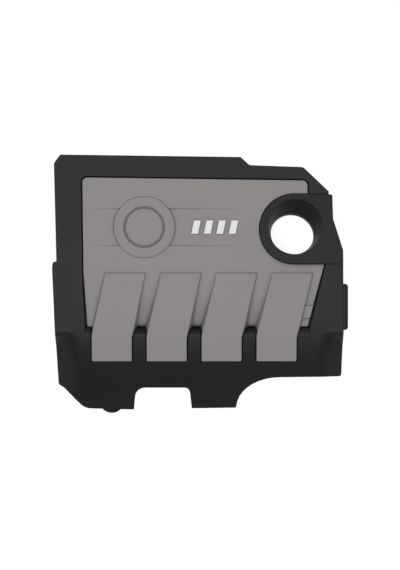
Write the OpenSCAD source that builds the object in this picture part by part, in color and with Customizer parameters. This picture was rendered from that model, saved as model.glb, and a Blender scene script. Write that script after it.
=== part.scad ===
// Engine cover: a black moulded shell with a grey trim panel clipped into its deck.
// Seen from above, +X is right, +Y is the rear and +Z is up. The shell stands on z = 0.

/* [Overall] */
// Overall width, across the side aprons
cover_w = 474; // [468:1:486]
// Overall length, from the rear edge to the nose of the front boss
cover_l = 415.6; // [410:0.2:426]
// Height of the flat deck above the lowest edge
deck_h = 86; // [80:1:96]

/* [Shell outline] */
// How far the left apron stands out of the left edge
apron_out_l = 7; // [5:0.5:10]
// How far the right apron stands out of the right edge
apron_out_r = 7.2; // [5:0.2:10]
// How far the left edge leans inwards from the rear corner to the apron
left_lean = 4; // [0:0.5:8]
// Width of the chamfer on the rear left corner
rear_chamfer_w = 10; // [4:1:16]
// Length of the chamfer on the rear left corner
rear_chamfer_l = 14; // [6:1:20]
// Width of the rear left stretch, from the left edge to the step
rear_high_w = 299; // [280:1:310]
// Fall of the rear edge towards the step
rear_fall = 4; // [0:0.5:8]
// Length of the step in the rear edge
rear_step_l = 13; // [6:1:18]
// Run of the step in the rear edge
rear_step_w = 14; // [8:1:20]
// Fall of the rear edge from the step to the slanted cut
slant_fall = 3; // [0:0.5:6]
// Width of the slanted cut at the rear right corner
slant_w = 41; // [30:1:50]
// Length of the slanted cut at the rear right corner
slant_l = 39; // [28:1:44]
// Width of the small notch between the slanted cut and the collar
nick_w = 7; // [3:0.5:10]
// How far the notch reaches in front of the collar's rear side
nick_l = 0.8; // [0.5:0.1:2]
// Distance from the collar's waist to the right edge of the shell
waist_w = 17; // [8:1:24]
// Distance from the collar's middle back to the waist
waist_l = 16; // [10:1:22]
// Length of the right edge's flare, from the waist to the full width
flare_l = 50; // [30:1:60]
// How far the right edge bows outwards in front of the flare
right_bow = 1; // [0:0.2:2]
// Distance from the front left corner's cut back to the left apron
apron_from_cut = 5; // [3:0.5:30]
// Distance from the rear edge to the left apron
apron_from_rear_l = 172; // [160:1:190]
// How far the left apron's outer edge leans inwards towards the front
apron_lean_l = 8.5; // [0:0.5:12]
// Length of the right apron
apron_len_r = 72; // [50:1:90]
// Corner radius of the right apron
apron_corner_r = 5; // [3.5:0.5:8]
// Distance from the rear edge to the right apron
apron_from_rear_r = 208; // [180:1:225]

/* [Front edge] */
// Distance from the boss's nose to the front edge of the tabs
boss_nose = 7.6; // [4:0.2:10]
// Distance from the left edge of the cover to the front left corner's cut
corner_from_left = 17; // [14:0.5:20]
// Slanted cut across the front left corner, along X
corner_cut_w = 34; // [24:1:42]
// Slanted cut across the front left corner, along Y
corner_cut_l = 34; // [24:1:38]
// Width of the front left tab, from the corner to the notch
tab_l_w = 79; // [70:1:86]
// How far the front left tab's edge falls towards the notch
tab_fall = 2; // [0:0.2:4]
// Width of the front notch
notch_w = 90; // [70:1:100]
// Depth of the front notch
notch_l = 34; // [20:1:38]
// Taper of each side of the front notch
notch_taper = 3.5; // [0:0.5:6]
// Width of the middle tab
tab_m_w = 76; // [66:1:83]
// Height of the middle tab's blunt corner beside the sweep
tab_corner = 3; // [1.5:0.5:5]
// Width of the curved sweep beside the middle tab
sweep_w = 70; // [50:1:80]
// Depth of the front edge behind the tabs, at the right
sweep_l = 51; // [40:1:56]

/* [Slopes] */
// Length of the front slope in plan, from the crest to the front edge of the tabs
slope_l = 116.2; // [112:0.2:122]
// Steepness of the front slope at the crest, in degrees
crest_angle = 16; // [12:0.5:18]
// Height of the front slope's surface at the front edge of the tabs
nose_z = 25.7; // [22:0.1:30]
// Distance from the left edge to the start of the left side slope
side_band_l = 31; // [20:1:40]
// Distance from the right edge to the start of the right side slope
side_band_r = 33; // [20:1:42]
// Fall of the side slopes for each millimetre outwards
side_fall = 0.84; // [0.5:0.02:1]
// Fall of the side slopes for each millimetre forwards
side_run = 0.52; // [0.4:0.01:0.6]

/* [Walls] */
// Wall thickness of the shell
wall = 2.5; // [2:0.1:3.2]
// Depth of the skirt below the deck
skirt_h = 42; // [30:1:50]
// Depth of the return flange along the front edge
flange_h = 13; // [10:0.5:18]
// Top of the right apron below the deck
apron_drop_r = 20; // [12:1:30]

/* [Filler collar] */
// Distance from the right edge to the middle of the collar
collar_from_right = 86; // [82:1:90]
// Distance from the rear edge to the middle of the collar
collar_from_rear = 118.8; // [114:0.2:122]
// Radius of the collar's round end
collar_r = 56; // [54:0.5:59]
// Tilt of the collar's top towards the rear, in degrees
collar_tilt = 4.5; // [2:0.5:6]
// Height of the collar's middle above the deck
collar_rise = 0.5; // [0:0.1:2]
// Radius of the filler opening at its narrow end
filler_r = 34.9; // [32:0.1:37]
// Tilt of the filler funnel from upright, in degrees
filler_tilt = 20; // [14:1:24]
// Direction that the funnel leans to, in degrees from +X
filler_lean = 71; // [50:1:90]
// Half angle of the funnel's cone, in degrees
filler_cone = 17; // [10:1:20]
// Height of the funnel's cone
filler_h = 25; // [20:1:30]
// Length of the straight neck under the funnel
filler_neck = 8; // [5:1:14]

/* [Trim panel] */
// Distance from the left edge of the cover to the panel
border_l = 48.5; // [45:0.5:53]
// Distance from the right edge of the cover to the panel's rear corner
border_r = 65.2; // [61:0.2:71]
// Length of the shell's rear border at its left end
border_rear = 36.6; // [34:0.2:42]
// How far the panel's rear edge falls from left to right
panel_fall = 5; // [0:0.5:8]
// Corner radius of the panel
panel_corner_r = 8; // [4:0.5:12]
// Gap between the panel and the shell
panel_gap = 2; // [1.4:0.1:2.6]
// Gap between the panel and the collar
collar_gap = 0.9; // [0.6:0.1:1.6]
// How far the panel's face lies below the deck
panel_sink = 0.5; // [0:0.1:1]
// Thickness of the panel
panel_t = 2.8; // [2.4:0.1:3.2]
// Clearance between the panel and the seat under it
seat_gap = 0.3; // [0.2:0.05:0.5]
// Distance from the crest back to the panel's front edge
panel_front = 16.7; // [12:0.1:22]
// Fall of the panel beside the outer fingers, in degrees
valley_angle = 3.4; // [2:0.1:4.5]
// Depth of the channels between the fingers, at the panel's front edge
channel_depth = 16; // [12:0.5:18]
// Radius of the shell's lip in front of the panel, beside the outer fingers
side_lip_r = 24; // [20:1:40]
// How much the gap beside the panel widens towards the front
gap_open = 1.8; // [0:0.2:3]
// How far the panel's left edge leans inwards at the front
panel_lean_l = 8; // [4:0.5:12]
// How far the panel's right edge leans inwards at the front
panel_lean_r = 26.5; // [22:0.5:32]
// Width of the panel's right front corner beyond the upper corner
panel_flare_r = 27; // [22:0.5:31]
// Length of the raised pad beside the last finger
pad_l = 20; // [12:1:26]
// Distance from the panel's front edge to the raised pad
pad_from_front = 13; // [8:0.5:18]
// Height of the raised pad
pad_rise = 1.6; // [0.8:0.1:2]

/* [Fingers] */
// Number of fingers
finger_n = 4; // [2:1:4]
// Spacing of the fingers at their front ends
finger_pitch = 88; // [86:0.5:90]
// Extra spacing of the fingers at their rear ends
finger_spread = 1.3; // [0:0.1:2]
// Width of a finger
finger_w = 64; // [56:0.5:68]
// How far a finger's rear end lies to the right of its front end
finger_slant = 21.6; // [14:0.2:28]
// Distance from the ring round the badge to the fingers' rear ends
finger_from_ring = 24.9; // [20:0.1:34]
// Length of a finger in front of the crest, in plan
finger_front_l = 39.4; // [32:0.2:46]
// Distance from the panel's left front corner to the first finger
finger_inset = 7; // [4:0.5:10]
// How far the fingers stand above the shell
finger_rise = 1; // [0.5:0.1:2]
// Thickness of the fingers' tops
finger_t = 2.7; // [2.2:0.1:3]
// Draft of a finger's sides, outwards for each millimetre down
finger_draft = 0.3; // [0.2:0.02:0.34]
// Corner radius of a finger
finger_corner_r = 3.2; // [1:0.2:6]
// Radius of a finger's bend at the crest
finger_bend_r = 12; // [6:1:30]
// Gap between a finger and its pocket in the shell
finger_gap = 1.6; // [1.2:0.1:2.4]

/* [Badge] */
// Distance from the panel's left edge to the middle of the badge
badge_from_left = 99; // [90:1:110]
// Distance from the panel's rear edge to the middle of the badge
badge_from_rear = 79.5; // [72:0.5:88]
// Outer radius of the raised ring
ring_r = 48.8; // [44:0.2:52]
// Height of the ring above the panel
ring_rise = 1.2; // [0.8:0.1:2]
// Radius of the recess inside the ring
recess_r = 33.1; // [30:0.1:36]
// Width of the groove between the ring and the disc
groove_w = 2.9; // [2:0.1:4]
// How far the disc lies below the ring
disc_sink = 0.4; // [0:0.1:1]
// Width of the disc's rounded edge
disc_edge = 1.2; // [0.6:0.1:1.8]
// Thickness of the floor under the disc
recess_floor = 1.8; // [1.4:0.1:2.2]
// Length of the shallow band behind the badge, along Y
band_l = 60; // [50:1:70]
// Depth of the band beside the badge
band_depth = 1.6; // [0.8:0.1:1.8]
// Reach of the band to the left of the badge
band_reach_l = 92; // [84:1:96]
// Distance from the band's right end to the collar
band_from_collar = 19.5; // [14:0.5:26]
// Radius of the pins under the disc and the bars
pin_r = 2; // [1.5:0.1:2.5]
// Radial clearance of the pins in their holes
pin_gap = 0.15; // [0.1:0.05:0.3]
// Number of plain bars beside the badge
bar_n = 4; // [1:1:4]
// Width of a bar
bar_w = 11; // [9:0.5:12]
// Length of a bar, along Y
bar_l = 21.5; // [16:0.5:24]
// Spacing of the bars
bar_pitch = 20; // [17:0.5:21]
// Thickness of a bar above the panel
bar_rise = 1.4; // [1:0.1:2]
// Distance from the band's right end to the last bar
bar_from_end = 22; // [16:1:28]

/* [Mount towers] */
// Distance from the left edge to the front left tower
tower_fl_x = 94.4; // [88:0.2:100]
// Outer radius of the front left tower, which shows as a boss
boss_r = 20; // [18.5:0.5:21]
// Outer radius of the other towers
tower_r = 17; // [16.5:0.1:18]
// Distance from the notch to the front right tower
tower_fr_x = 35.5; // [30:0.5:42]
// Distance from the tab's front edge to the front right tower
tower_fr_y = 26; // [22:1:30]
// Distance from the left edge to the rear left tower
tower_rl_x = 37; // [32:1:40]
// Distance from the rear edge to the rear left tower
tower_rl_y = 28; // [24:1:34]
// Distance from the right edge to the rear right tower
tower_rr_x = 101; // [92:1:110]
// Distance from the rear edge to the rear right tower
tower_rr_y = 41; // [38:1:44]
// Height of the front left tower's foot above the lowest edge
foot_fl = 2; // [0:0.5:4]
// Height of the front right tower's foot above the lowest edge
foot_fr = 12; // [6:1:16]
// Thickness of the plate that holds a grommet
plate_t = 2.5; // [2:0.1:3]
// Height of the foot of a tower's webs above the tower's own foot
web_z = 22; // [18:1:30]
// Reach of a tower's webs at the deck
web_w = 12; // [8:1:14]

/* [Grommets] */
// Radius of a grommet's two flanges
grommet_r = 13; // [12:0.1:13.4]
// Radius of a grommet's neck between the flanges
grommet_neck_r = 9.5; // [9:0.1:10.5]
// Thickness of each flange
grommet_flange = 3; // [2.5:0.1:3.4]
// Radius of the hole that a ball stud enters
stud_r = 4.5; // [4:0.1:4.9]
// Length of the straight mouth of that hole
stud_mouth = 4; // [3:0.5:4.5]
// Radius of the ball socket above the mouth
socket_r = 5.4; // [5:0.1:5.8]
// Thickness of the cap over the socket
cap_t = 1.2; // [0.8:0.1:1.6]
// Radial clearance round a grommet
grommet_gap = 0.3; // [0.2:0.05:0.4]

/* [Underside] */
// Distance from the panel's left edge to the first rib
rib_from_left = 30; // [24:1:36]
// Distance from the panel's rear right corner to the last rib
rib_from_right = 62; // [56:1:68]
// Distance from the panel's rear edge to the rear rib
rib_from_rear = 14; // [10:1:18]
// Distance from the crest back to the front rib
rib_from_crest = 46; // [40:1:60]
// How far the ribs run on past the outer ones
rib_over = 13; // [8:1:14]
// Thickness of the ribs
rib_t = 1.8; // [1.4:0.1:2.4]
// Depth of the ribs
rib_h = 9; // [6:0.5:12]
// Number of ribs across the shell
rib_rows = 3; // [2:1:4]
// Number of ribs from rear to front
rib_cols = 5; // [3:1:6]
// Distance from the panel's left edge to the foam pad
foam_from_left = 39; // [36:1:70]
// Distance from the filler's middle to the foam pad
foam_from_filler = 50; // [48:1:80]
// Length of the foam pad
foam_l = 130; // [110:1:150]
// Thickness of the foam pad
foam_t = 12; // [8:0.5:16]
// Corner radius of the foam pad
foam_corner_r = 18; // [8:1:24]
// How far the foam pad lies in front of the flat stretch's middle
foam_shift_y = 8; // [0:1:12]
// Width of a clip hook under the panel
hook_w = 10; // [6:0.5:14]
// Thickness of a clip hook
hook_t = 1.8; // [1.4:0.1:2.4]
// Reach of a clip hook below its slot
hook_reach = 4; // [2.5:0.5:6]
// Overhang of a hook's barb
barb = 1.4; // [1:0.1:2]
// Play between a hook's barb and the shell
barb_gap = 0.4; // [0.2:0.1:0.8]
// Distance from the panel's edge to the hooks beside it
hook_inset = 7; // [6:0.5:9]
// Clearance round a hook in its slot
slot_gap = 0.8; // [0.5:0.1:1.2]

/* [Hidden] */
$fn = 96;

// Size of the blocks that stand for half spaces
far = 900;
// Overlap of bodies that are joined
lap = 0.5;
// Overrun of cutting bodies
over = 1;
// Points on each rounded corner of an outline
corner_steps = 6;
// Share of a curve's radius that the block below its middle reaches
block_share = 0.98;

// Edges of the whole cover
left = -cover_w / 2;
right = cover_w / 2;
rear = cover_l / 2;
front = -cover_l / 2;

// Edges of the shell without its aprons
shell_l = left + apron_out_l;
shell_r = right - apron_out_r;
tab_y = front + boss_nose;
crest_y = tab_y + slope_l;

// Corners of the rear and right edges
rear_l_x = shell_l - left_lean;
step_x = rear_l_x + rear_high_w;
step_y = rear - rear_fall - rear_step_l;
waist_x = shell_r - waist_w;
nick_x = waist_x - nick_w;

// Corners of the front edge
notch_y = tab_y + notch_l;
sweep_y = tab_y + sweep_l;
corner_x = left + corner_from_left + corner_cut_w;
notch_l_x = corner_x + tab_l_w;
notch_r_x = notch_l_x + notch_w;
tab_r_x = notch_r_x + tab_m_w;
apron_y = rear - apron_from_rear_l;
apron_len_l = apron_y - tab_y - corner_cut_l - apron_from_cut;

// Arc of the front slope, from the crest to the tabs: its chord, radius and middle
slope_chord = [crest_y - tab_y, deck_h - nose_z];
slope_r = norm(slope_chord) / 2 / sin(atan(slope_chord[1] / slope_chord[0]) - crest_angle);
slope_y = crest_y + slope_r * sin(crest_angle);
slope_z = deck_h - slope_r * cos(crest_angle);

// Depths below the outer skin
seat_d = panel_sink + panel_t + seat_gap;
inner_d = seat_d + wall;
rim_d = seat_d - seat_gap;

// Middle of the collar and its height
collar_x = right - collar_from_right;
collar_y = rear - collar_from_rear;
collar_z = deck_h + collar_rise;
nick_y = collar_y + collar_r - nick_l;
waist_y = collar_y + waist_l;

// Corners of the panel
panel_l = left + border_l;
panel_rear = rear - border_rear;
panel_r = right - border_r;
panel_f = crest_y + panel_front;
panel_fl = panel_l + panel_lean_l;
panel_knee_r = panel_r + panel_flare_r;
panel_fr = panel_knee_r - panel_lean_r;
panel_z = deck_h - panel_sink;
// Bend in the panel's left edge
panel_bend_r = 60;

// First finger, at its front end, and the ends of all of them
finger_x = panel_fl + finger_inset;
finger_y = rear - border_rear - badge_from_rear - ring_r - finger_from_ring;
finger_rear_l = finger_y - crest_y;
finger_end_y = crest_y - finger_front_l;
// Fingers that fit across the panel's front edge
fingers = min(finger_n, 1 + floor((panel_fr - finger_inset - finger_w - finger_x) / finger_pitch));
// Height of the fingers' drafted sides, from their tops to below the channels
draft_h = finger_rise + panel_sink + channel_depth + 2 * inner_d;

// Front edge of the panel's seat, and its two ends
seat_f = panel_f - panel_gap;
seat_l = panel_fl - gap_open - panel_gap;
seat_r = panel_fr + gap_open + panel_gap;

// Radius of the channels' curved floor, and of the shell's lip in front of them
channel_l = finger_y - panel_f;
channel_r = (channel_l * channel_l + channel_depth * channel_depth) / channel_depth / 2;
lip_over = 1.3;
lip_r = seat_f - crest_y + lip_over;
// How far a lip's circle stands above the deck, so that the two meet in an edge
lip_lift = 0.15;

// Badge, and the band that it lies in
badge_x = panel_l + badge_from_left;
badge_y = panel_rear - badge_from_rear;
disc_r = recess_r - groove_w;
recess_z = panel_z - panel_t + recess_floor;
band_end = right - collar_from_right - collar_r - band_from_collar;
band_reach_r = band_end - badge_x;
// Bars that fit between the ring and the band's right end
bars = min(bar_n, 1 + floor((band_reach_r - bar_from_end - ring_r - bar_w / 2) / bar_pitch));

// Towers: place, height of the foot and outer radius
tower_fl = [left + tower_fl_x, front + boss_r, foot_fl, boss_r];
tower_fr = [notch_r_x + tower_fr_x, tab_y + tower_fr_y, foot_fr, tower_r];
tower_rl = [left + tower_rl_x, rear - tower_rl_y, 0, tower_r];
tower_rr = [right - tower_rr_x, rear - tower_rr_y, 0, tower_r];
towers = [tower_fl, tower_fr, tower_rl, tower_rr];
// Height of a grommet above its tower's foot, and of the plate that holds it
grommet_z = 1;
plate_z = grommet_flange + grommet_z;

// Underside of the ribs, where the foam is glued on
foam_z = deck_h - inner_d - rib_h;
foam_l_x = panel_l + foam_from_left;
foam_w = collar_x - foam_from_filler - foam_l_x;
foam_y = (finger_y + panel_rear) / 2 - foam_shift_y;

function unit(v) = v / norm(v);
function angle_of(v) = atan2(v[1], v[0]);
function half_turn(a) = a > 180 ? a - 360 : a < -180 ? a + 360 : a;

// Arc that rounds the corner q of the line p, q, s with radius r
function fillet(p, q, s, r) =
    let (u = unit(p - q), w = unit(s - q),
        half = acos(u * w) / 2,
        c = q + unit(u + w) * r / sin(half),
        a = angle_of(q + u * r / tan(half) - c),
        turn = half_turn(angle_of(q + w * r / tan(half) - c) - a))
    [for (k = [0:corner_steps]) let (b = a + turn * k / corner_steps) c + r * [cos(b), sin(b)]];

function xy(p) = [p[0], p[1]];

// Outline whose points are x, y and corner radius
function rounded(pts) =
    let (n = len(pts))
    [for (i = [0:n - 1]) each pts[i][2] == 0 ? [xy(pts[i])]
        : fillet(xy(pts[(i + n - 1) % n]), xy(pts[i]), xy(pts[(i + 1) % n]), pts[i][2])];

shell_outline = rounded(concat([
    [rear_l_x, rear - rear_chamfer_l, 4],
    [rear_l_x + rear_chamfer_w, rear, 4],
    [step_x, rear - rear_fall, 3],
    [step_x + rear_step_w, step_y, 8],
    [nick_x - slant_w, step_y - slant_fall, 10],
    [nick_x, step_y - slant_fall - slant_l, 0],
    [nick_x, nick_y, 0],
    [waist_x - right_bow, nick_y, 2.5],
    [waist_x, waist_y, 14],
    [shell_r - right_bow, waist_y - flare_l, 14],
    [shell_r, crest_y + 20, 30],
    [shell_r - 2 * right_bow, sweep_y + right_bow, 4],
    [tab_r_x + sweep_w, sweep_y, 0]],
    [for (a = [80:-10:10])
        [tab_r_x + sweep_w * (1 - cos(a)), tab_y + tab_corner + (sweep_l - tab_corner) * sin(a), 0]],
    [[tab_r_x - tab_corner / 3, tab_y + tab_corner / 3, 2.5],
    [notch_r_x + notch_taper, tab_y, 2],
    [notch_r_x, notch_y, 9],
    [notch_l_x + notch_taper, notch_y, 16],
    [notch_l_x, tab_y - tab_fall, 2],
    [corner_x, tab_y, 24],
    [corner_x - corner_cut_w, tab_y + corner_cut_l, 8],
    [left + apron_lean_l, apron_y - apron_len_l, 5],
    [left, apron_y - 10, 5],
    [left + 1, apron_y, 4],
    [shell_l, apron_y + 1, 0]]));

// Outline of the panel, opened sideways at its front edge
function panel_outline(open = 0) = rounded([
    [panel_l, panel_rear, panel_corner_r],
    [panel_r, panel_rear - panel_fall, panel_corner_r],
    [panel_r, collar_y, 0],
    [panel_knee_r, collar_y - collar_r, 0],
    [panel_fr + open, panel_f, 1.5],
    [panel_fl - open, panel_f, 1.5],
    [panel_l + panel_lean_l / 4, finger_y, panel_bend_r]]);

// How far the rear end of finger i lies to the right of its front end
function slant(i) = finger_slant + i * finger_spread;

// Outline of finger i, rear end first
function finger_outline(i) =
    let (x = finger_x + i * finger_pitch)
    rounded([
        [x + slant(i), finger_y, finger_corner_r],
        [x + slant(i) + finger_w, finger_y, finger_corner_r],
        [x + finger_w, crest_y, finger_bend_r],
        [x + finger_w, finger_end_y, finger_corner_r / 2],
        [x, finger_end_y, finger_corner_r / 2],
        [x, crest_y, finger_bend_r]]);

// Everything below the outer skin, moved inwards by d
module skin(d) {
    steep = sqrt(1 + side_fall * side_fall + side_run * side_run);
    tilt = atan(sqrt(side_fall * side_fall + side_run * side_run));
    intersection() {
        translate([-far, -far, deck_h - d - far]) cube([2 * far, 2 * far, far]);
        union() {
            translate([-far, slope_y, slope_z - far]) cube([2 * far, far, 2 * far]);
            translate([-far, slope_y, slope_z]) rotate([0, 90, 0])
                cylinder(r = slope_r - d, h = 2 * far, $fn = 360);
        }
        translate([left + side_band_l, crest_y, deck_h - d * steep]) rotate(tilt, [side_run, -side_fall, 0])
            translate([-far, -far, -2 * far]) cube(2 * far);
        translate([right - side_band_r, crest_y, deck_h - d * steep]) rotate(tilt, [side_run, side_fall, 0])
            translate([-far, -far, -2 * far]) cube(2 * far);
    }
}

// Everything below the panel's face beside the outer fingers, moved down by d
module valley(d) {
    translate([0, finger_y, panel_z - d]) {
        rotate([valley_angle, 0, 0]) translate([-far, -far, -far]) cube([2 * far, far, far]);
        translate([-far, 0, -far]) cube([2 * far, far, far]);
    }
}

// Everything below a curve of radius r along X, whose top is at y and z, moved inwards by d
module round_block(y, z, r, d) {
    half = block_share * (r - d);
    translate([-far, y, z - r]) {
        rotate([0, 90, 0]) cylinder(r = r - d, h = 2 * far, $fn = 360);
        translate([0, -half, -far]) cube([2 * far, 2 * half, far]);
    }
}

// Stretch with the deep channels, between the middles of the outer fingers
module channels_plan(grow = 0) {
    x = finger_x + finger_w / 2;
    last = fingers - 1;
    offset(delta = grow)
        polygon([[x + slant(0), finger_y], [x + last * finger_pitch + slant(last), finger_y],
            [x + last * finger_pitch, crest_y - over], [x, crest_y - over]]);
}

// Everything below the panel's face between its fingers, moved down by d
module bed(d, grow = 0) {
    difference() {
        valley(d);
        difference() {
            column() channels_plan(grow);
            round_block(finger_y, panel_z, channel_r, d);
        }
    }
}

// Everything below the shell's lips, which roll down behind the crest, moved inwards by d
module lips(d, grow = 0) {
    difference() {
        round_block(crest_y, deck_h + lip_lift, side_lip_r, d);
        difference() {
            column() channels_plan(grow);
            round_block(crest_y, deck_h + lip_lift, lip_r, d);
        }
    }
}

// Everything below the floor under the panel and its fingers, moved down by d
module shell_floor(d, grow = 0) {
    intersection() {
        skin(d);
        union() {
            front_half(crest_y);
            lips(d, grow);
            difference() {
                bed(d - panel_sink, grow);
                front_half(crest_y);
            }
        }
    }
}

// Prism over a flat outline, through the whole height
module column() {
    translate([0, 0, -over]) linear_extrude(deck_h + 30) children();
}

module shell_plan(inset = 0) {
    offset(delta = -inset) polygon(shell_outline);
}

// Everything below the deck, the slopes and the collar's top, moved down by d
module outer(d = 0) {
    difference() {
        skin(d);
        column() collar_plan();
    }
    intersection() {
        column() collar_plan();
        collar_top(d);
    }
}

// D-shaped plan of the collar, which runs out through the right edge
module collar_plan(grow = 0) {
    translate([collar_x, collar_y]) {
        circle(r = collar_r + grow);
        translate([0, -collar_r - grow]) square([cover_w, 2 * (collar_r + grow)]);
    }
}

// Everything below the collar's tilted top, moved down by d
module collar_top(d = 0) {
    translate([collar_x, collar_y, collar_z - d]) rotate([-collar_tilt, 0, 0])
        translate([-far, -far, -far]) cube([2 * far, 2 * far, far]);
}

// Fingers with their drafted sides, grown by a gap or shrunk, through the whole height
module fingers(grow = 0) {
    for (i = [0:fingers - 1]) {
        column() offset(delta = grow) polygon(finger_outline(i));
        for (side = [-1, 1])
            translate([finger_x + i * finger_pitch + slant(i) + (side > 0 ? finger_w : 0), finger_y,
                deck_h + finger_rise])
            rotate([90, 0, -atan(slant(i) / finger_rear_l)]) linear_extrude(norm([slant(i), finger_rear_l]))
            polygon([for (p = [[-over, 0], [0, 0], [finger_draft * draft_h, -draft_h], [-over, -draft_h]])
                [side * (p[0] + grow), p[1] + lap]]);
    }
}

// Recess in the deck that takes the panel, with the lips in front of it
module seat_plan() {
    offset(delta = panel_gap) polygon(panel_outline(gap_open));
    translate([seat_l, crest_y]) square([seat_r - seat_l, panel_f - crest_y]);
}

module front_half(y) {
    translate([-far, y - 2 * far, -far]) cube(2 * far);
}

module seat_cut() {
    difference() {
        union() {
            difference() {
                column() seat_plan();
                bed(panel_t + seat_gap);
                intersection() {
                    lips(0);
                    front_half(seat_f);
                }
            }
            difference() {
                intersection() {
                    fingers(finger_gap);
                    front_half(seat_f + over);
                }
                shell_floor(seat_d);
            }
        }
        column() collar_plan();
    }
}

// Funnel for the filler neck, widened by grow
module funnel(grow = 0) {
    translate([collar_x, collar_y, collar_z]) rotate([0, 0, filler_lean]) rotate([0, filler_tilt, 0])
        translate([0, 0, -filler_h]) {
            cylinder(r1 = filler_r + grow, r2 = filler_r + grow + 2 * filler_h * tan(filler_cone),
                h = 2 * filler_h);
            translate([0, 0, -filler_neck - (grow > 0 ? 0 : far)])
                cylinder(r = filler_r + grow, h = filler_neck + (grow > 0 ? 0 : far));
        }
}

// Hollow under the shell
module cavity() {
    // Under the border and the front slope
    difference() {
        intersection() {
            column() shell_plan(wall);
            skin(wall);
        }
        column() offset(delta = wall) seat_plan();
        column() collar_plan(wall);
        fingers(finger_gap + wall);
    }
    // Under the lips
    difference() {
        intersection() {
            column() seat_plan();
            lips(wall, wall);
            skin(wall);
            front_half(seat_f - wall);
        }
        fingers(finger_gap + wall);
    }
    // Under the seat of the panel and its fingers
    intersection() {
        column() shell_plan(wall);
        shell_floor(inner_d, wall);
    }
    // Inside the collar
    intersection() {
        column() shell_plan(wall);
        column() collar_plan(-wall);
        collar_top(wall);
    }
}

// What is cut off below the skirt and the front flange, except at the aprons
module below_skirt() {
    edge = 2 * wall + over;
    difference() {
        union() {
            translate([-far, crest_y, -far]) cube([2 * far, far, far + deck_h - skirt_h]);
            intersection() {
                skin(flange_h);
                front_half(crest_y);
            }
        }
        translate([-far, apron_y - apron_len_l - over, -over])
            cube([far + shell_l + edge, apron_len_l + 2 * over, far]);
        translate([shell_r - edge, rear - apron_from_rear_r - apron_len_r, -over])
            cube([far, apron_len_r, far]);
    }
}

// Box-shaped apron beside the right edge
module apron_r_plan(inset = 0) {
    r = apron_corner_r - inset;
    root = wall + 3 * lap;
    translate([shell_r - root, rear - apron_from_rear_r - apron_len_r + inset])
        offset(r = r) offset(delta = -r) square([apron_out_r + root - inset, apron_len_r - 2 * inset]);
}

// Ribs that hang from the deck down to the foam
module ribs() {
    x0 = panel_l + rib_from_left;
    y0 = crest_y + rib_from_crest;
    w = panel_r - rib_from_right - x0;
    l = panel_rear - rib_from_rear - y0;
    intersection() {
        column() {
            for (i = [0:rib_cols - 1])
                translate([x0 + w * i / (rib_cols - 1) - rib_t / 2, y0 - rib_over])
                square([rib_t, l + 2 * rib_over]);
            for (j = [0:rib_rows - 1])
                translate([x0 - rib_over, y0 + l * j / (rib_rows - 1) - rib_t / 2])
                square([w + 2 * rib_over, rib_t]);
        }
        translate([-far, -far, foam_z]) cube([2 * far, 2 * far, far]);
        outer(wall / 2);
    }
}

// Round tower under the shell, with a plate near its foot that holds a grommet
module tower_body(t) {
    intersection() {
        translate([t[0], t[1], t[2]]) cylinder(r = t[3], h = deck_h);
        skin(0);
    }
}

// Thin webs that brace a tower against the deck
module tower_webs(t) {
    intersection() {
        translate([t[0], t[1], t[2]]) for (a = [45:90:315]) rotate([90, 0, a]) translate([0, 0, -rib_t / 2])
            linear_extrude(rib_t)
            polygon([[t[3] - over, web_z], [t[3] + web_w, deck_h], [t[3] - over, deck_h]]);
        column() shell_plan(wall / 2);
        outer(wall / 2);
    }
}

module tower_bore(t) {
    pocket = grommet_r + grommet_gap;
    translate([t[0], t[1], t[2]]) {
        translate([0, 0, -over]) cylinder(r = pocket, h = plate_z + over);
        cylinder(r = grommet_neck_r + grommet_gap, h = plate_z + plate_t + over);
    }
    intersection() {
        translate([t[0], t[1], t[2] + plate_z + plate_t]) cylinder(r = pocket, h = deck_h);
        skin(inner_d);
    }
}

// Opening in a tower's side through which its grommet is pushed in
module tower_window(t, turn) {
    translate([t[0], t[1], t[2] + plate_z]) rotate([0, 0, turn])
        translate([0, -grommet_neck_r - grommet_gap, 0])
        cube([t[3] + over, 2 * (grommet_neck_r + grommet_gap), plate_t + 2 * grommet_flange + 2 * over]);
}

// Places of the panel's clip hooks: x, y and turn
hooks = [
    for (k = [0.17, 0.5, 0.8])
        [panel_l + k * (panel_r - panel_l), panel_rear - k * panel_fall - hook_inset + over, 0],
    for (y = [badge_y, finger_y + 4]) [panel_l + hook_inset, y, 90]];

module at_hooks() {
    for (h = hooks) translate([h[0], h[1], 0]) rotate([0, 0, h[2]]) children();
}

module base_shell() {
    color([0.16, 0.16, 0.17]) difference() {
        union() {
            difference() {
                intersection() {
                    linear_extrude(far) shell_plan();
                    outer();
                }
                cavity();
                below_skirt();
            }
            difference() {
                intersection() {
                    funnel(wall);
                    collar_top();
                }
                funnel();
            }
            difference() {
                linear_extrude(deck_h - apron_drop_r) apron_r_plan();
                translate([0, 0, -over]) linear_extrude(deck_h - apron_drop_r - wall + over)
                    apron_r_plan(wall);
            }
            ribs();
            for (t = towers) {
                tower_body(t);
                tower_webs(t);
            }
        }
        seat_cut();
        funnel();
        for (t = towers) tower_bore(t);
        tower_window(tower_fl, 0);
        tower_window(tower_fr, 90);
        tower_window(tower_rl, -60);
        tower_window(tower_rr, 180);
        at_hooks() translate([-hook_w / 2 - slot_gap, -seat_gap, foam_z])
            cube([hook_w + 2 * slot_gap, seat_gap + hook_t + barb + slot_gap, deck_h]);
    }
}

// Plane that the band's floor and the bars' undersides share, at the right of the badge
module band_floor_r() {
    translate([badge_x, badge_y, panel_z - band_depth])
        rotate([0, -atan(band_depth / band_reach_r), 0]) translate([-over, -far, 0])
        cube([far, 2 * far, far]);
}

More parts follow.
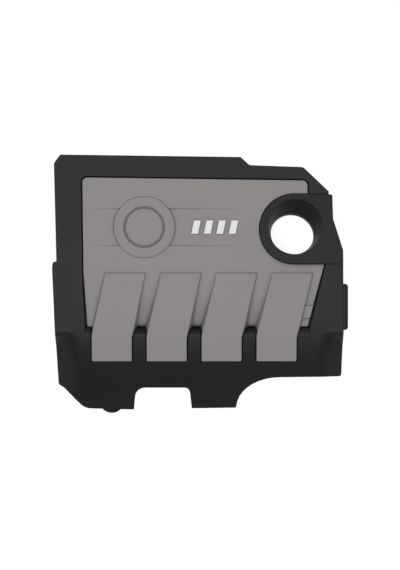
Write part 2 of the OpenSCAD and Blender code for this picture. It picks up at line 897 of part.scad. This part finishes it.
module band_cut() {
    intersection() {
        translate([badge_x - band_reach_l, badge_y - band_l / 2, 0])
            cube([band_reach_l + band_reach_r, band_l, far]);
        union() {
            band_floor_r();
            translate([badge_x, badge_y, panel_z - band_depth])
                rotate([0, atan(band_depth / band_reach_l), 0]) translate([over - far, -far, 0])
                cube([far, 2 * far, far]);
        }
    }
}

function bar_x(i) = band_end - bar_from_end - i * bar_pitch;

module bar_pins(grow = 0) {
    for (i = [0:bars - 1]) translate([bar_x(i), badge_y, panel_z - panel_t])
        cylinder(r = pin_r + grow, h = panel_t + grow, $fn = 32);
}

module disc_pins(grow = 0) {
    for (a = [90, 210, 330]) translate([badge_x, badge_y, panel_z - panel_t]) rotate([0, 0, a])
        translate([disc_r - 4 * pin_r, 0, 0]) cylinder(r = pin_r + grow, h = recess_floor + lap, $fn = 32);
}

// Clip hook that stands on its tip, with a barb under the shell
module hook() {
    barb_z = hook_reach - barb_gap;
    cube([hook_w, hook_t, inner_d - panel_sink - lap + hook_reach]);
    rotate([90, 0, 90]) linear_extrude(hook_w)
        polygon([[0, 0], [hook_t, 0], [hook_t, over], [0, barb_z],
            [-barb, barb_z], [-barb, barb_z - barb / 2]]);
}

module trim_panel() {
    color([0.53, 0.51, 0.51]) {
        difference() {
            union() {
                // Plate with its channels and its shallow band
                difference() {
                    intersection() {
                        column() polygon(panel_outline());
                        bed(0);
                    }
                    bed(panel_t);
                    band_cut();
                }
                // Ring round the badge
                translate([badge_x, badge_y, panel_z - panel_t])
                    cylinder(r = ring_r, h = panel_t + ring_rise);
                // Fingers behind the panel's front edge
                difference() {
                    intersection() {
                        fingers();
                        skin(-finger_rise);
                        translate([-far, panel_f, 0]) cube([2 * far, far, far]);
                    }
                    bed(panel_t);
                }
                // Fingers that fold down over the lips and the front slope
                difference() {
                    intersection() {
                        fingers();
                        skin(-finger_rise);
                        front_half(panel_f + lap);
                    }
                    shell_floor(rim_d);
                }
                // Raised pad beside the last finger
                intersection() {
                    translate([finger_x + finger_w + (fingers - 1) * finger_pitch,
                        panel_f + pad_from_front, 0]) cube([panel_knee_r, pad_l, deck_h]);
                    column() polygon(panel_outline());
                    difference() {
                        valley(-pad_rise);
                        valley(panel_t);
                    }
                }
                at_hooks() translate([-hook_w / 2, 0, deck_h - inner_d - hook_reach]) hook();
            }
            // Hollow undersides of the fingers
            intersection() {
                fingers(-panel_t);
                skin(finger_t - finger_rise);
            }
            column() collar_plan(collar_gap);
            translate([badge_x, badge_y, recess_z]) cylinder(r = recess_r, h = far);
            disc_pins(pin_gap);
            bar_pins(pin_gap);
        }
    }
}

module badge_disc() {
    top = panel_z + ring_rise - recess_z - disc_sink;
    color([0.56, 0.54, 0.54]) {
        translate([badge_x, badge_y, recess_z]) rotate_extrude()
            polygon([[0, 0], [disc_r, 0], [disc_r, top - disc_edge],
                [disc_r - disc_edge / 3, top - disc_edge / 3], [disc_r - disc_edge, top], [0, top]]);
        disc_pins();
    }
}

module badge_bars() {
    color([0.78, 0.78, 0.78]) {
        lean = finger_slant / finger_rear_l * bar_l / 2;
        intersection() {
            for (i = [0:bars - 1]) translate([bar_x(i), badge_y, 0]) linear_extrude(panel_z + bar_rise)
                polygon([[-bar_w / 2 - lean, -bar_l / 2], [bar_w / 2 - lean, -bar_l / 2],
                    [bar_w / 2 + lean, bar_l / 2], [-bar_w / 2 + lean, bar_l / 2]]);
            band_floor_r();
        }
        bar_pins();
    }
}

module foam_pad() {
    color([0.35, 0.34, 0.33]) translate([foam_l_x, foam_y - foam_l / 2, foam_z - foam_t])
        linear_extrude(foam_t) offset(r = foam_corner_r) offset(delta = -foam_corner_r)
        square([foam_w, foam_l]);
}

// Rubber bush with a flange on each side of its plate and a socket for a ball stud
module grommet(t) {
    h = 2 * grommet_flange + plate_t;
    socket_z = stud_mouth + sqrt(socket_r * socket_r - stud_r * stud_r);
    cap_r = socket_r + 2 * cap_t;
    cap_z = socket_z + socket_r + cap_t;
    bevel = grommet_flange / 3;
    color([0.09, 0.09, 0.09]) translate([t[0], t[1], t[2] + grommet_z]) difference() {
        rotate_extrude() polygon([[0, 0], [grommet_r - bevel, 0],
            [grommet_r, bevel], [grommet_r, grommet_flange],
            [grommet_neck_r, grommet_flange], [grommet_neck_r, h - grommet_flange],
            [grommet_r, h - grommet_flange], [grommet_r, h - bevel], [grommet_r - bevel, h],
            [cap_r, h], [cap_r, cap_z - bevel], [cap_r - bevel, cap_z], [0, cap_z]]);
        translate([0, 0, -over]) cylinder(r = stud_r, h = stud_mouth + over);
        translate([0, 0, socket_z]) sphere(r = socket_r);
    }
}

module grommet_front_left() { grommet(tower_fl); }
module grommet_front_right() { grommet(tower_fr); }
module grommet_rear_left() { grommet(tower_rl); }
module grommet_rear_right() { grommet(tower_rr); }

base_shell();
trim_panel();
badge_disc();
badge_bars();
foam_pad();
grommet_front_left();
grommet_front_right();
grommet_rear_left();
grommet_rear_right();
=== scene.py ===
from math import cos, pi, radians, sin
import bpy
import bmesh
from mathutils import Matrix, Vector, noise


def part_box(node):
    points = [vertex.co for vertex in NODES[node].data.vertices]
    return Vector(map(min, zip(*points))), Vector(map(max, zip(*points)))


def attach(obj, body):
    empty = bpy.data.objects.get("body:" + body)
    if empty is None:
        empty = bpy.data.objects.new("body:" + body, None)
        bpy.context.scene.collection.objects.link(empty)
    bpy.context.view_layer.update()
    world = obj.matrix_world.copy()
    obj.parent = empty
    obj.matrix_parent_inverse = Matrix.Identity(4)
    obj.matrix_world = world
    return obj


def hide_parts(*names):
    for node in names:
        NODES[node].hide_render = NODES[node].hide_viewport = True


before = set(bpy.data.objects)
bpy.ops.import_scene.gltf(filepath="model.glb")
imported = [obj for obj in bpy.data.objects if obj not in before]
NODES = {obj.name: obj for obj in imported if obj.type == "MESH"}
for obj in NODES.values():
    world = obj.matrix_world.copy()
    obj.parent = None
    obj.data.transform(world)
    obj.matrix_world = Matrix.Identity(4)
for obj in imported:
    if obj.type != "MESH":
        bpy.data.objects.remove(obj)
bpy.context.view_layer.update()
scene = bpy.context.scene
MM = 0.001

# The shell's form, as in the part's source: the deck's height, where the crest and the side slopes
# start, how the side slopes fall outwards and forwards, and the front slope's arc
DECK_Z = 86.0 * MM
CREST_Y = -84.0 * MM
CREST_ANGLE = radians(16)
BAND_L_X, BAND_R_X = -206.0 * MM, 204.0 * MM
SIDE_FALL, SIDE_RUN = 0.84, 0.52
SLOPE_R = 330.41 * MM
SLOPE_Y = CREST_Y + SLOPE_R * sin(CREST_ANGLE)
SLOPE_DROP = SLOPE_R * cos(CREST_ANGLE)
# Front edge of the level shoulders beside the crest
SHOULDER_Y = -80.0 * MM


# Helpers for materials

def new_material(name):
    m = bpy.data.materials.new(name)
    m.use_nodes = True
    t = m.node_tree
    t.nodes.clear()
    return m, t


def node(t, kind, **values):
    n = t.nodes.new(kind)
    for k, v in values.items():
        if k in n.inputs.keys():
            n.inputs[k].default_value = v
        else:
            setattr(n, k, v)
    return n


def noise_tex(t, coords, scale, detail=2.0, rough=0.5):
    n = node(t, "ShaderNodeTexNoise", Scale=scale, Detail=detail, Roughness=rough)
    t.links.new(coords, n.inputs["Vector"])
    return n.outputs["Fac"]


def cells_tex(t, coords, scale, smooth=True):
    n = node(t, "ShaderNodeTexVoronoi", Scale=scale, feature="SMOOTH_F1" if smooth else "F1")
    t.links.new(coords, n.inputs["Vector"])
    return n.outputs["Distance"]


def stretched(t, coords, factors):
    """Coordinates for marks that run across the part at a slant."""
    n = node(t, "ShaderNodeMapping", Scale=factors, Rotation=(0, 0, radians(28)))
    t.links.new(coords, n.inputs["Vector"])
    return n.outputs["Vector"]


def ramp(t, fac, stops):
    r = node(t, "ShaderNodeValToRGB")
    e = r.color_ramp.elements
    while len(e) < len(stops):
        e.new(0.5)
    for item, (pos, col) in zip(e, stops):
        item.position = pos
        item.color = (*col, 1)
    t.links.new(fac, r.inputs["Fac"])
    return r.outputs["Color"]


def ranged(t, fac, lo, hi, a, b):
    r = node(t, "ShaderNodeMapRange")
    for k, v in zip(("From Min", "From Max", "To Min", "To Max"), (lo, hi, a, b)):
        r.inputs[k].default_value = v
    t.links.new(fac, r.inputs["Value"])
    return r.outputs["Result"]


def calc(t, operation, *values):
    """A Math node; each value is an output or a number."""
    n = node(t, "ShaderNodeMath", operation=operation)
    for k, v in enumerate(values):
        if isinstance(v, (int, float)):
            n.inputs[k].default_value = v
        else:
            t.links.new(v, n.inputs[k])
    return n.outputs[0]


def painted_crevice_shade(t, distance, stops):
    """Painted shade from ambient occlusion: 1 on open surfaces, less in gaps and at the foot of steps: (open
    share, factor) for each stop.
    """
    n = node(t, "ShaderNodeAmbientOcclusion", samples=6, Distance=distance)
    return ramp(t, n.outputs["AO"], [(share, (factor,) * 3) for share, factor in stops])


def shaded(t, color, factor):
    n = node(t, "ShaderNodeVectorMath", operation="SCALE")
    t.links.new(color, n.inputs[0])
    t.links.new(factor, n.inputs["Scale"])
    return n.outputs[0]


def rolled_creases(t, coords, roll):
    """Height that rounds the creases between the deck, the front slope and the side slopes."""
    parts = node(t, "ShaderNodeSeparateXYZ")
    t.links.new(coords, parts.inputs[0])
    x, y = parts.outputs["X"], parts.outputs["Y"]
    run = calc(t, "MULTIPLY", calc(t, "SUBTRACT", y, CREST_Y), SIDE_RUN)
    # Behind the shoulders' front edge the deck stays level out to its sides: the side planes rise there
    rise = 3.0
    behind = calc(t, "MAXIMUM", calc(t, "SUBTRACT", y, SHOULDER_Y), 0.0)
    run = calc(t, "ADD", run, calc(t, "MULTIPLY", behind, rise))
    left = calc(t, "ADD", calc(t, "MULTIPLY", calc(t, "SUBTRACT", x, BAND_L_X), SIDE_FALL), run)
    right = calc(t, "ADD", calc(t, "MULTIPLY", calc(t, "SUBTRACT", BAND_R_X, x), SIDE_FALL), run)
    ahead = calc(t, "MINIMUM", calc(t, "SUBTRACT", y, SLOPE_Y), 0.0)
    slope = calc(t, "SUBTRACT", calc(t, "SQRT", calc(t, "SUBTRACT", SLOPE_R ** 2,
                                                     calc(t, "POWER", ahead, 2.0))), SLOPE_DROP)
    sharp = calc(t, "MINIMUM", calc(t, "MINIMUM", calc(t, "MINIMUM", slope, 0.0), left), right)
    soft = calc(t, "SMOOTH_MIN", slope, 0.0, roll)
    for side in (left, right):
        soft = calc(t, "SMOOTH_MIN", soft, side, roll)
    # Walls that stand upright have no crease to round
    facing = node(t, "ShaderNodeSeparateXYZ")
    t.links.new(node(t, "ShaderNodeNewGeometry").outputs["True Normal"], facing.inputs[0])
    level = ranged(t, calc(t, "ABSOLUTE", facing.outputs["Z"]), 0.30, 0.55, 0.0, 1.0)
    return calc(t, "MULTIPLY", calc(t, "SUBTRACT", soft, sharp), level)


def principled(t, **values):
    p = node(t, "ShaderNodeBsdfPrincipled", **values)
    o = node(t, "ShaderNodeOutputMaterial")
    t.links.new(p.outputs[0], o.inputs["Surface"])
    return p


def bump(t, p, heights, edge=None):
    """Chains bumps: (height output, strength, distance in metres), on edges rounded by a radius."""
    last = node(t, "ShaderNodeBevel", samples=6, Radius=edge).outputs["Normal"] if edge else None
    for h, strength, distance in heights:
        b = node(t, "ShaderNodeBump", Strength=strength, Distance=distance)
        t.links.new(h, b.inputs["Height"])
        if last is not None:
            t.links.new(last, b.inputs["Normal"])
        last = b.outputs["Normal"]
    t.links.new(last, p.inputs["Normal"])


def scaled_rgb(rgb, k):
    return tuple(c * k for c in rgb)


# Materials

def shell_plastic(name="shell_grained_plastic", creased=True):
    m, t = new_material(name)
    co = node(t, "ShaderNodeTexCoord").outputs["Object"]
    p = principled(t, **{"Specular IOR Level": 0.14, "Specular Tint": (0.96, 0.94, 1.0, 1)})
    base = (0.0058, 0.0057, 0.0074)
    # Painted shade: the base colour darkens in gaps and at the foot of steps
    painted_gap_shade = painted_crevice_shade(t, 6 * MM, [(0.30, 0.05), (0.52, 1.0)])
    broad = noise_tex(t, co, 7.0, 3.0)
    tone = ramp(t, broad, [(0.3, scaled_rgb(base, 0.86)), (0.7, scaled_rgb(base, 1.14))])
    t.links.new(shaded(t, tone, painted_gap_shade), p.inputs["Base Color"])
    scuffs = noise_tex(t, stretched(t, co, (1.0, 9.0, 1.0)), 60.0, 4.0, 0.6)
    satin = calc(t, "ADD", ranged(t, broad, 0.3, 0.7, 0.40, 0.45), ranged(t, scuffs, 0.55, 0.75, 0.0, 0.05))
    # Painted shade: deep in a gap the surface is made darker, rougher and less reflective
    t.links.new(calc(t, "ADD", satin, ranged(t, painted_gap_shade, 0.05, 1.0, 0.55, 0.0)), p.inputs["Roughness"])
    t.links.new(ranged(t, painted_gap_shade, 0.05, 1.0, 0.015, 0.14), p.inputs["Specular IOR Level"])
    creases = [(rolled_creases(t, co, 14 * MM), 1.0, 1.0)] if creased else []
    bump(t, p, creases + [(cells_tex(t, co, 900.0), 0.22, 0.4 * MM),
                          (noise_tex(t, co, 1300.0), 0.12, 0.3 * MM)], edge=2.2 * MM)
    return m


def trim_paint():
    m, t = new_material("trim_satin_grey")
    co = node(t, "ShaderNodeTexCoord").outputs["Object"]
    p = principled(t, **{"Specular IOR Level": 0.12})
    base = (0.242, 0.227, 0.228)
    broad = noise_tex(t, co, 5.0, 4.0)
    tone = ramp(t, broad, [(0.3, scaled_rgb(base, 0.98)), (0.7, scaled_rgb(base, 1.02))])
    # Painted shade: the grey darkens in gaps, channels and at the foot of steps
    gaps = painted_crevice_shade(t, 9 * MM, [(0.40, 0.25), (0.70, 0.80), (0.98, 1.0)])
    t.links.new(shaded(t, tone, gaps), p.inputs["Base Color"])
    peel = noise_tex(t, co, 420.0)
    t.links.new(ranged(t, peel, 0.3, 0.7, 0.46, 0.54), p.inputs["Roughness"])
    bump(t, p, [(rolled_creases(t, co, 24 * MM), 1.0, 1.0), (peel, 0.06, 0.5 * MM),
                (noise_tex(t, co, 1700.0, 1.0), 0.07, 0.2 * MM)], edge=2.4 * MM)
    return m


def bar_silver():
    m, t = new_material("bars_satin_silver")
    co = node(t, "ShaderNodeTexCoord").outputs["Object"]
    p = principled(t, Metallic=0.10, **{"Specular IOR Level": 0.3})
    fine = noise_tex(t, co, 900.0)
    t.links.new(ramp(t, fine, [(0.3, (0.55, 0.55, 0.56)), (0.7, (0.61, 0.61, 0.62))]),
                p.inputs["Base Color"])
    t.links.new(ranged(t, fine, 0.3, 0.7, 0.42, 0.50), p.inputs["Roughness"])
    bump(t, p, [(fine, 0.05, 0.2 * MM)])
    return m


def foam_cells():
    m, t = new_material("foam_open_cell")
    co = node(t, "ShaderNodeTexCoord").outputs["Object"]
    p = principled(t, Roughness=0.95, **{"Specular IOR Level": 0.1, "Sheen Weight": 0.25,
                                         "Sheen Roughness": 0.6})
    cells = cells_tex(t, co, 620.0, smooth=False)
    broad = noise_tex(t, co, 30.0, 3.0)
    tone = calc(t, "MULTIPLY", cells, ranged(t, broad, 0.3, 0.7, 0.8, 1.2))
    t.links.new(ramp(t, tone, [(0.05, (0.018, 0.018, 0.019)), (0.6, (0.075, 0.074, 0.073))]),
                p.inputs["Base Color"])
    bump(t, p, [(cells, 0.8, 1.0 * MM), (broad, 0.3, 1.5 * MM)])
    return m


def rubber():
    m, t = new_material("grommet_rubber")
    co = node(t, "ShaderNodeTexCoord").outputs["Object"]
    p = principled(t, **{"Specular IOR Level": 0.35})
    fine = noise_tex(t, co, 1100.0, 3.0)
    t.links.new(ramp(t, fine, [(0.3, (0.012, 0.012, 0.012)), (0.7, (0.024, 0.024, 0.023))]),
                p.inputs["Base Color"])
    t.links.new(ranged(t, fine, 0.3, 0.7, 0.62, 0.78), p.inputs["Roughness"])
    bump(t, p, [(fine, 0.15, 0.3 * MM)])
    return m


# CAD nodes: their finish, and round edges on the small ones (the shaders round those of the large ones)

def soften(o, width):
    """Rounds the sharp edges by modifiers only; the CAD mesh itself stays as it is."""
    weld = o.modifiers.new("weld", "WELD")
    weld.merge_threshold = 0.002 * MM
    flat = o.modifiers.new("flat", "DECIMATE")
    flat.decimate_type = "DISSOLVE"
    flat.angle_limit = radians(0.6)
    edge = o.modifiers.new("edge", "BEVEL")
    edge.width = width
    edge.segments = 2
    edge.limit_method = "ANGLE"
    edge.angle_limit = radians(35)
    edge.use_clamp_overlap = False
    o.modifiers.new("shade", "WEIGHTED_NORMAL").keep_sharp = False


def dress(name, material, width=None):
    o = NODES[name]
    if not o.material_slots:
        o.data.materials.append(material)
    for s in o.material_slots:
        s.material = material
    if width:
        soften(o, width)


trim = trim_paint()
dress("base_shell", shell_plastic())
dress("trim_panel", trim)
dress("badge_disc", trim, 0.4 * MM)
dress("badge_bars", bar_silver(), 0.4 * MM)
grommet_rubber = rubber()
for side in ("front_left", "front_right", "rear_left", "rear_right"):
    dress("grommet_" + side, grommet_rubber, 0.3 * MM)


# Shell forms that the solid lacks: level shoulders beside the crest, and a cap on the right apron

def closed_piece(name, b, material, smooth_angle=35):
    """Turns a closed bmesh into a piece of the shell."""
    bmesh.ops.recalc_face_normals(b, faces=b.faces)
    me = bpy.data.meshes.new(name)
    b.to_mesh(me)
    b.free()
    me.materials.append(material)
    me.shade_smooth()
    me.set_sharp_from_angle(angle=radians(smooth_angle))
    o = bpy.data.objects.new(name, me)
    scene.collection.objects.link(o)
    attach(o, "root")


def soft_min(a, b, k):
    """The smaller of two heights, blended over a span of k where they meet."""
    return min(a, b) - max(k - abs(a - b), 0.0) ** 2 / (4 * k)


def shell_top(x, y, crease_x):
    """The solid's own top near a side: deck, front slope or side band, x taken from the middle plane."""
    ahead = min(y - SLOPE_Y, 0.0)
    slope = (SLOPE_R ** 2 - ahead ** 2) ** 0.5 - SLOPE_DROP if y < CREST_Y else 0.0
    band = (crease_x - x) * SIDE_FALL + (y - CREST_Y) * SIDE_RUN
    return DECK_Z + min(0.0, slope, band)


def shoulder(name, side, crease_x, wall, material, rows=44, columns=30):
    """Carries the deck level out to the side wall, and rolls down in front onto the side band.

    side is 1 or -1, crease_x and wall(y) are distances from the middle plane.
    """
    front_y, front_fall, roll = -106 * MM, 1.6, 7 * MM
    back_y = CREST_Y + (wall(CREST_Y) - crease_x) * SIDE_FALL / SIDE_RUN - 1.5 * MM
    # Where the solid is higher it stays tucked under the surface, and its back lies inside the wall
    tucked, skin = 0.6 * MM, 1.6 * MM
    # It lies a hair over the deck past the crease, and slips under it further in
    over, under, lap, feather = 0.02 * MM, 0.03 * MM, 2.6 * MM, 3.0 * MM
    b = bmesh.new()
    grid = []
    for j in range(rows + 1):
        y = front_y + (back_y - front_y) * j / rows
        crease = crease_x + max(y - CREST_Y, 0.0) * SIDE_RUN / SIDE_FALL
        outer = wall(y) + 0.1 * MM
        inner = crease - 8 * MM
        line = []
        for i in range(columns + 1):
            x = inner + (outer - inner) * i / columns
            solid = shell_top(x, y, crease_x)
            wanted = soft_min(DECK_Z, DECK_Z - front_fall * (SHOULDER_Y - y), roll) + over
            wanted -= (over + under) * min(1.0, max(0.0, (crease - lap - x) / feather))
            top = max(wanted, solid - tucked)
            line.append((b.verts.new((side * x, y, top)), b.verts.new((side * x, y, solid - skin))))
        grid.append(line)
    for j in range(rows):
        for i in range(columns):
            for k in (0, 1):
                b.faces.new((grid[j][i][k], grid[j][i + 1][k], grid[j + 1][i + 1][k], grid[j + 1][i][k]))
    for j in range(rows):
        for i in (0, columns):
            b.faces.new((grid[j][i][0], grid[j + 1][i][0], grid[j + 1][i][1], grid[j][i][1]))
    for i in range(columns):
        for j in (0, rows):
            b.faces.new((grid[j][i][0], grid[j][i + 1][0], grid[j][i + 1][1], grid[j][i][1]))
    closed_piece(name, b, material)


def apron_cap(name, x0, x1, y0, y1, z0, z1, corner, roll, material, steps=6):
    """Fills from the apron's ledge up to the deck, with round outer corners and a rolled top edge."""
    b = bmesh.new()
    rings = []
    levels = [(0.0, z0)] + [(roll * (1 - cos(a)), z1 - roll * (1 - sin(a)))
                            for a in (radians(90 * i / steps) for i in range(steps + 1))]
    for inset, z in levels:
        r = corner - inset
        outline = [(x0, y1 - inset), (x0, y0 + inset)]
        for cy, start in ((y0 + corner, -90), (y1 - corner, 0)):
            for i in range(steps + 1):
                a = radians(start + 90 * i / steps)
                outline.append((x1 - corner + r * cos(a), cy + r * sin(a)))
        rings.append([b.verts.new((x, y, z)) for x, y in outline])
    for r0, r1 in zip(rings, rings[1:]):
        n = len(r0)
        for i in range(n):
            b.faces.new((r0[i], r0[(i + 1) % n], r1[(i + 1) % n], r1[i]))
    b.faces.new(rings[0])
    b.faces.new(rings[-1])
    closed_piece(name, b, material, smooth_angle=50)


def wall_left(y):
    """Distance of the left apron's outer face from the middle plane: it leans inwards to the front."""
    rear_y = -44 * MM
    return 233.83 * MM + (y - rear_y) * 0.0456


def wall_right(y):
    """Distance of the right wall's outer face from the middle plane: widest beside the apron."""
    widest_y = -66 * MM
    return 229.80 * MM - 0.0088 * max(y - widest_y, 0.0) - 0.0228 * max(widest_y - y, 0.0)


plain_shell = shell_plastic("shell_shoulder_plastic", creased=False)
shoulder("shoulder_left", -1, -BAND_L_X, wall_left, plain_shell)
shoulder("shoulder_right", 1, BAND_R_X, wall_right, plain_shell)
apron_cap("apron_cap_right", x0=228.0 * MM, x1=236.9 * MM, y0=-73.0 * MM, y1=1.0 * MM, z0=65.9 * MM,
          z1=DECK_Z - 0.05 * MM, corner=5.2 * MM, roll=4.0 * MM, material=plain_shell)


# Foam pad: a soft body with a crowned underside, drawn-in sides and a flat top where it is glued on

def rounded_ring(low, high, radius, inset, z, steps=10, runs=14):
    """Points round a rounded rectangle whose straight sides are drawn in a little at their middles."""
    pull = 1.6 * MM
    x0, y0, x1, y1 = low[0] + inset, low[1] + inset, high[0] - inset, high[1] - inset
    r = radius - inset
    points = []
    corners = [((x1 - r, y1 - r), 0), ((x0 + r, y1 - r), 90), ((x0 + r, y0 + r), 180),
               ((x1 - r, y0 + r), 270)]
    for k, ((cx, cy), start) in enumerate(corners):
        arc = [(cx + r * cos(radians(start + 90 * i / steps)), cy + r * sin(radians(start + 90 * i / steps)))
               for i in range(steps + 1)]
        points += arc
        (nx, ny), n_start = corners[(k + 1) % 4]
        end = (nx + r * cos(radians(n_start)), ny + r * sin(radians(n_start)))
        inward = (-cos(radians(start + 90)), -sin(radians(start + 90)))
        for i in range(1, runs):
            f = i / runs
            d = pull * sin(pi * f) ** 2
            points.append((arc[-1][0] + (end[0] - arc[-1][0]) * f + inward[0] * d,
                           arc[-1][1] + (end[1] - arc[-1][1]) * f + inward[1] * d))
    return [Vector((x, y, z)) for x, y in points]


def foam_piece(material):
    low, high = (Vector(v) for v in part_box("foam_pad"))
    radius = 18 * MM
    # Inset and height of each ring, from the glued top over the rounded edge to the underside
    profile = [(30, 0.0), (12, 0.0), (2.2, 0.0), (0.7, -0.7), (0.2, -2.2), (0.9, -5.2), (0.4, -8.0),
               (1.2, -9.3), (3.0, -9.75), (7, -9.8), (12, -10.3), (18, -10.9), (26, -11.4), (36, -11.75),
               (48, -11.9), (60, -12.0)]
    b = bmesh.new()
    rings = []
    for inset, drop in profile:
        inset *= MM
        ring = rounded_ring(low, high, radius, min(inset, radius - 0.5 * MM), high.z + drop * MM)
        if inset > radius - 0.5 * MM:
            # Past the corner radius the ring is scaled towards the middle instead
            middle = (low + high) / 2
            half = min(high.x - low.x, high.y - low.y) / 2
            keep = (half - inset) / (half - radius)
            ring = [Vector((middle.x + (v.x - middle.x) * keep, middle.y + (v.y - middle.y) * keep, v.z))
                    for v in ring]
        rings.append([b.verts.new(v) for v in ring])
    for r0, r1 in zip(rings, rings[1:]):
        n = len(r0)
        for i in range(n):
            b.faces.new((r0[i], r1[i], r1[(i + 1) % n], r0[(i + 1) % n]))
    b.faces.new(rings[0])
    b.faces.new(list(reversed(rings[-1])))
    bmesh.ops.recalc_face_normals(b, faces=b.faces)
    for v in b.verts:
        if v.co.z < high.z - 1 * MM:
            wave = noise.noise(Vector((v.co.x * 22, v.co.y * 22, 3.1)))
            v.co.z += 0.5 * MM * (wave + 0.6) * min(1, (high.z - v.co.z) / (10 * MM))
    me = bpy.data.meshes.new("foam_pad_soft")
    b.to_mesh(me)
    b.free()
    me.materials.append(material)
    for f in me.polygons:
        f.use_smooth = True
    o = bpy.data.objects.new("foam_pad_soft", me)
    scene.collection.objects.link(o)
    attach(o, "root")
    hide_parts("foam_pad")


foam_piece(foam_cells())


# Floor, world, lamps and camera

def unseen_or_white(t, plain, white, clear=1.0):
    """Shows white to the camera, and where it is clear to reflections; the plain shader to the light."""
    path = node(t, "ShaderNodeLightPath")
    mirrored = calc(t, "MAXIMUM", path.outputs["Is Glossy Ray"], path.outputs["Is Transmission Ray"])
    seen = calc(t, "MAXIMUM", path.outputs["Is Camera Ray"], calc(t, "MULTIPLY", mirrored, clear))
    mix = node(t, "ShaderNodeMixShader")
    t.links.new(seen, mix.inputs[0])
    t.links.new(plain.outputs[0], mix.inputs[1])
    t.links.new(white.outputs[0], mix.inputs[2])
    return mix.outputs[0]


def make_floor():
    m, t = new_material("floor_white")
    plain = node(t, "ShaderNodeBsdfDiffuse", Color=(0.80, 0.80, 0.80, 1))
    dim = node(t, "ShaderNodeBsdfDiffuse", Color=(0.30, 0.30, 0.30, 1))
    glow = node(t, "ShaderNodeEmission", Color=(1, 1, 1, 1), Strength=0.86)
    white = node(t, "ShaderNodeAddShader")
    t.links.new(dim.outputs[0], white.inputs[0])
    t.links.new(glow.outputs[0], white.inputs[1])
    # In reflections the floor under the cover stays in its shadow: its glow is cut back over a box there, a
    # painted shadow
    half_x, half_y = 0.21, 0.18
    parts = node(t, "ShaderNodeSeparateXYZ")
    t.links.new(node(t, "ShaderNodeNewGeometry").outputs["Position"], parts.inputs[0])
    across = calc(t, "DIVIDE", calc(t, "ABSOLUTE", parts.outputs["X"]), half_x)
    along = calc(t, "DIVIDE", calc(t, "ABSOLUTE", parts.outputs["Y"]), half_y)
    clear = ranged(t, calc(t, "MAXIMUM", across, along), 0.95, 1.15, 0.6, 1.0)
    t.links.new(unseen_or_white(t, plain, white, clear),
                node(t, "ShaderNodeOutputMaterial").inputs["Surface"])
    bpy.ops.mesh.primitive_plane_add(size=16, location=(0, 0, -0.4 * MM))
    floor = bpy.context.object
    floor.name = "floor"
    floor.data.materials.append(m)


def make_world():
    world = bpy.data.worlds.new("studio")
    scene.world = world
    world.use_nodes = True
    t = world.node_tree
    t.nodes.clear()
    soft = node(t, "ShaderNodeBackground", Color=(1, 1, 1, 1), Strength=0.45)
    white = node(t, "ShaderNodeBackground", Color=(1, 1, 1, 1), Strength=1.0)
    t.links.new(unseen_or_white(t, soft, white), node(t, "ShaderNodeOutputWorld").inputs["Surface"])


def area(name, place, aim, size, power):
    d = bpy.data.lights.new(name, "AREA")
    d.shape = "SQUARE"
    d.size = size
    d.energy = power
    o = bpy.data.objects.new(name, d)
    scene.collection.objects.link(o)
    o.location = place
    o.rotation_euler = (Vector(aim) - Vector(place)).to_track_quat("-Z", "Y").to_euler()
    o.visible_camera = False


make_floor()
make_world()
# A soft box overhead, a weaker one in front for the slope, and a small one low at the rear left
area("key", (-0.05, 0.08, 2.5), (0, 0, 0.05), 1.0, 25)
area("front", (0.1, -1.2, 2.2), (0, 0, 0.05), 0.9, 7)
area("side", (-0.80, 0.60, 0.8), (0, 0, 0.05), 0.5, 1.5)

# The photograph looks straight down on the deck. The lens sets the width that it sees at the deck.
DISTANCE, VIEW_W, SENSOR = 6.0, 0.912, 36
cam_data = bpy.data.cameras.new("camera")
cam = bpy.data.objects.new("camera", cam_data)
scene.collection.objects.link(cam)
scene.camera = cam
cam.location = (-0.16 * MM, -0.96 * MM, DECK_Z + DISTANCE)
cam_data.sensor_width = SENSOR
cam_data.lens = SENSOR * DISTANCE / VIEW_W
cam_data.clip_end = 40

scene.view_settings.view_transform = "Standard"
